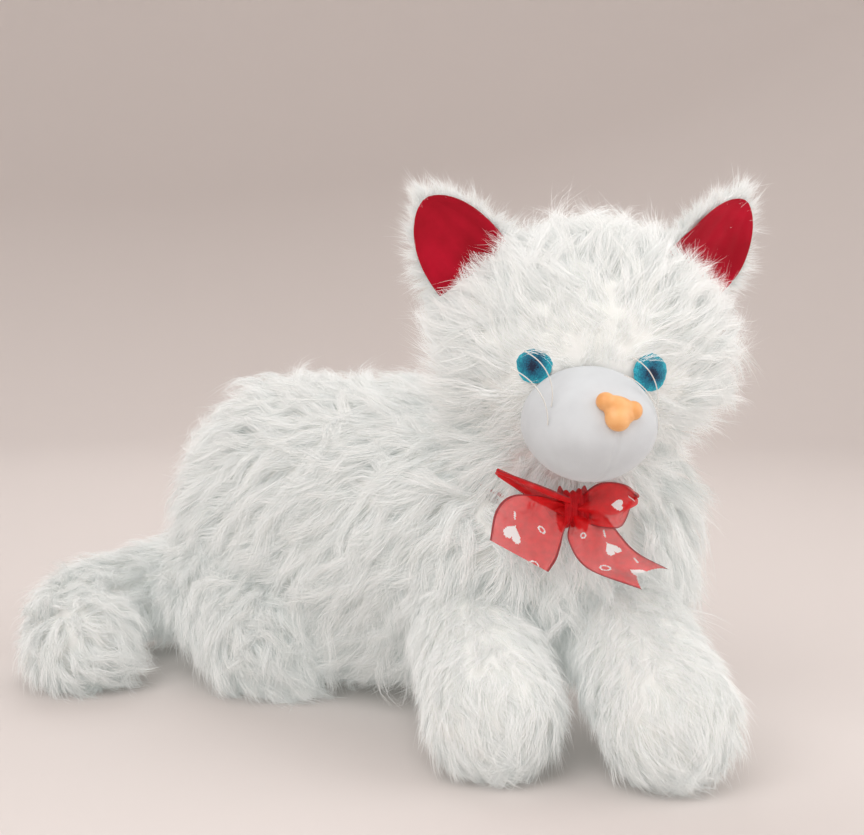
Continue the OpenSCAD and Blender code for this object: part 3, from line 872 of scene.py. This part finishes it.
def curve_through(points, count):
    """Smooth curve through a few points, as count points."""
    points = np.array(points, float)
    padded = np.vstack([2 * points[0] - points[1], points, 2 * points[-1] - points[-2]])
    t = np.linspace(0, len(points) - 1, count)
    i = np.minimum(t.astype(int), len(points) - 2)
    f = (t - i)[:, None]
    a, b, c, d = (padded[i + k] for k in range(4))
    return 0.5 * (2 * b + (c - a) * f + (2 * a - 5 * b + 4 * c - d) * f ** 2
                  + (3 * b - a - 3 * c + d) * f ** 3)


def heart(x, y, size):
    """True inside a heart of the given half width."""
    x, y = x / size, y / size + 0.25
    return (x * x + (1.25 * y - np.sqrt(np.abs(x))) ** 2) < 1


def ring(x, y, size):
    """True on a thin circle of the given radius."""
    return np.abs(np.hypot(x, y) - size) < RING_LINE


def dash(x, y, size):
    """True inside a short slanted stroke."""
    return (np.abs(x - 0.5 * y) < DASH_LINE) & (np.abs(y) < size)


def gathered_grid(a, b, v):
    """Rows of points between two edges. Where the edges come closer, pleats keep the cloth's width."""
    grid = a[:, None] * (1 - v)[None, :, None] + b[:, None] * v[None, :, None]
    chord = np.linalg.norm(b - a, axis=1)
    spare = np.maximum(RIBBON_WIDTH - chord, 0)
    depth = 2 / (math.pi * PLEATS) * np.sqrt(spare * chord)
    gathers = depth[:, None] * np.sin(math.pi * PLEATS * v)[None, :]
    normal = unit(np.cross(np.gradient(grid, axis=0), np.gradient(grid, axis=1)))
    return grid + normal * gathers[:, :, None]


def add_ribbon(name, node, first_edge, second_edge, prints, notch=0.0):
    """Sheer ribbon between two edge curves, with darker woven edges and printed shapes.

    A print is a shape, its place along and across the ribbon, and its size. A notch cuts the end to a V.
    """
    edge_a, edge_b = np.array(first_edge), np.array(second_edge)
    length = np.linalg.norm(np.diff((edge_a + edge_b) / 2, axis=0), axis=1).sum()
    rows = int(length / RIBBON_CELL)
    columns = int(RIBBON_WIDTH / RIBBON_CELL)
    along = np.linspace(0, length, rows)
    v = np.linspace(0, 1, columns)
    grid = gathered_grid(curve_through(edge_a, rows), curve_through(edge_b, rows), v)
    index = np.arange(rows * columns).reshape(rows, columns)
    faces = np.stack([index[:-1, :-1], index[1:, :-1], index[1:, 1:], index[:-1, 1:]], axis=2)
    u_mid = ((along[:-1] + along[1:]) / 2)[:, None]
    v_mid = ((v[:-1] + v[1:]) / 2)[None, :] * RIBBON_WIDTH
    kind = np.zeros((rows - 1, columns - 1), int)
    for shape, u, w, size in prints:
        kind[shape(v_mid - w, u_mid - u, size)] = RIBBON_LOOKS.index(PRINT)
    edge = np.minimum(v_mid, RIBBON_WIDTH - v_mid) < RIBBON_HEM
    kind[np.broadcast_to(edge, kind.shape)] = RIBBON_LOOKS.index(SELVEDGE)
    keep = u_mid < length - notch * (1 - np.abs(v_mid / RIBBON_WIDTH * 2 - 1))
    keep = np.broadcast_to(keep, kind.shape)
    mesh = grid_mesh(name, grid, faces[keep])
    ribbon = add_object(name, mesh, *RIBBON_LOOKS)
    mesh.polygons.foreach_set("material_index", kind[keep].ravel().astype(np.int32))
    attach(ribbon, "torso")
    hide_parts(node)


def bow_edge(*places):
    return [bow_point(*place) for place in places]


def add_knot():
    """The band wrapped round the middle of the bow, pleated and pulled in. Sizes in millimetres."""
    once_round = np.linspace(0, 2 * math.pi, 73)[:-1]
    turns, widths = np.meshgrid(once_round, np.linspace(-1, 1, 25), indexing="ij")
    pleat = 0.6 * np.cos(4 * math.pi * widths) + 0.4 * np.sin(2 * turns + 3 * widths)
    size = 1 + 0.22 * widths ** 2
    side = 6.5 * widths + 1.5 * np.sin(turns)
    up = (9.5 + pleat) * size * np.cos(turns) + 1
    out = (6 + pleat) * size * np.sin(turns) + 8
    points = [[bow_point(*place) for place in zip(*rows)] for rows in zip(side, up, out)]
    index = np.arange(side.size).reshape(side.shape)
    ahead = np.roll(index, -1, axis=0)
    faces = np.stack([index[:, :-1], ahead[:, :-1], ahead[:, 1:], index[:, 1:]], axis=2)
    mesh = grid_mesh("ribbon_knot_cloth", np.array(points), faces)
    knot = add_object("ribbon_knot_cloth", mesh, ORGANZA_THICK)
    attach(knot, "torso")
    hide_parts("ribbon_knot")


def add_neckband():
    """The ribbon round the neck, gathered under the fur."""
    low, high = corners("ribbon_neckband")
    centre = (low + high) / 2
    radius = (high - low)[:2].mean() / 2 - NECKBAND_SINK
    turns = np.linspace(0, 2 * math.pi, 33)
    ring_at = [centre + radius * np.array([math.cos(a), math.sin(a), 0]) for a in turns]
    slope = (high[2] - low[2]) / 2 - NECKBAND_HALF
    lean = [UP * slope * math.sin(a) for a in turns]
    upper = [place + tilt + UP * NECKBAND_HALF for place, tilt in zip(ring_at, lean)]
    lower = [place + tilt - UP * NECKBAND_HALF for place, tilt in zip(ring_at, lean)]
    add_ribbon("ribbon_neckband_cloth", "ribbon_neckband", upper, lower, [])


def add_bow():
    """Two tails and two loops, each between the two edges of its ribbon, then knot and neckband."""
    prints = [(heart, 0.034, 0.008, 0.0034), (ring, 0.022, 0.016, 0.0014), (ring, 0.042, 0.019, 0.0018),
              (heart, 0.05, 0.012, 0.003), (dash, 0.027, 0.006, 0.0016), (dash, 0.045, 0.005, 0.002)]
    add_ribbon("ribbon_tail_right_cloth", "ribbon_tail_right",
               bow_edge((-3, 4, 8), (-19, 9, 13), (-33, 9, 14), (-41, 1, 13), (-44, -15, 11)),
               bow_edge((-1, -4, 8), (-5, -10, 14), (-7, -18, 15), (-9, -25, 14), (-13, -32, 12)),
               prints)
    add_ribbon("ribbon_tail_left_cloth", "ribbon_tail_left",
               bow_edge((3, 2, 10), (15, -1, 17), (31, -19, 19), (50, -30, 16)),
               bow_edge((-2, -6, 10), (-3, -15, 17), (7, -29, 19), (36, -41, 15)),
               prints, notch=0.008)
    add_ribbon("ribbon_loop_right_cloth", "ribbon_loop_right",
               bow_edge((-2, 8, 13), (-20, 16, 20), (-41, 23, 15), (-22, 14, 12), (-2, 6, 7)),
               bow_edge((-2, -4, 9), (-19, 6, 2), (-38, 17, -7), (-20, 4, -3), (-2, -3, 2)),
               [(heart, 0.024, 0.012, 0.003)])
    add_ribbon("ribbon_loop_left_cloth", "ribbon_loop_left",
               bow_edge((2, 7, 11), (14, 16, 17), (27, 15, 18), (34, 8, 15), (26, 14, 8), (14, 14, 4),
                        (2, 5, 4)),
               bow_edge((2, -4, 11), (13, -7, 20), (25, -7, 16), (33, 2, -6), (25, -4, -5), (14, -3, 0),
                        (2, -3, 4)),
               [(heart, 0.02, 0.012, 0.003), (dash, 0.03, 0.008, 0.002)])
    add_knot()
    add_neckband()


add_bow()


# ---------------------------------------------------------------------------------------
# Floor, lights and camera
# ---------------------------------------------------------------------------------------

def add_stage():
    """A round pale floor that curves up into a backdrop."""
    centre = (np.array(CAD_LOW) + np.array(CAD_HIGH)) / 2
    profile = [(r, 0.0) for r in np.linspace(0.05, STAGE_FLOOR, 8)]
    profile += [(STAGE_FLOOR + STAGE_BEND * math.sin(a), STAGE_BEND * (1 - math.cos(a)))
                for a in np.linspace(0, math.pi / 2, 16)[1:]]
    profile.append((STAGE_FLOOR + STAGE_BEND, STAGE_HEIGHT))
    form = bmesh.new()
    ring_points = [form.verts.new((r, 0, z)) for r, z in profile]
    edges = [form.edges.new(pair) for pair in zip(ring_points, ring_points[1:])]
    bmesh.ops.spin(form, geom=ring_points + edges, cent=(0, 0, 0), axis=(0, 0, 1), steps=96,
                   angle=2 * math.pi)
    bmesh.ops.remove_doubles(form, verts=form.verts, dist=1e-4)
    bmesh.ops.holes_fill(form, edges=form.edges, sides=100)
    mesh = bpy.data.meshes.new("floor")
    form.to_mesh(mesh)
    form.free()
    mesh.shade_smooth()
    floor = add_object("floor", mesh, new_material("floor", (0.74, 0.69, 0.665), 0.7))
    floor.location = (centre[0], centre[1], 0)


def add_light(name, place, target, size, power):
    """A square soft light that faces the target."""
    data = bpy.data.lights.new(name, "AREA")
    data.size = size
    data.energy = power
    lamp = bpy.data.objects.new(name, data)
    bpy.context.scene.collection.objects.link(lamp)
    lamp.location = place
    lamp.rotation_euler = (Vector(target) - Vector(place)).to_track_quat("-Z", "Y").to_euler()


def add_studio():
    target = (NECK[0], NECK[1], 0.12)
    add_light("key", (-0.9, -1.2, 1.5), target, 1.8, 23)
    add_light("fill", (1.3, -1.0, 0.9), target, 1.6, 13)
    add_light("back", (0.2, 1.2, 1.5), target, 1.4, 11.5)
    world = bpy.data.worlds.new("studio")
    bpy.context.scene.world = world
    world.use_nodes = True
    world.node_tree.nodes["Background"].inputs["Color"].default_value = (0.95, 0.97, 1.0, 1)
    world.node_tree.nodes["Background"].inputs["Strength"].default_value = SKY_STRENGTH
    bpy.context.scene.view_settings.view_transform = "Standard"


def add_camera():
    data = bpy.data.cameras.new("camera")
    data.lens = CAMERA_LENS
    camera = bpy.data.objects.new("camera", data)
    camera.location = CAMERA_PLACE
    camera.rotation_euler = (math.radians(90 - CAMERA_DIP), 0, math.radians(CAMERA_TURN))
    bpy.context.scene.collection.objects.link(camera)
    bpy.context.scene.camera = camera


add_stage()
add_studio()
add_camera()
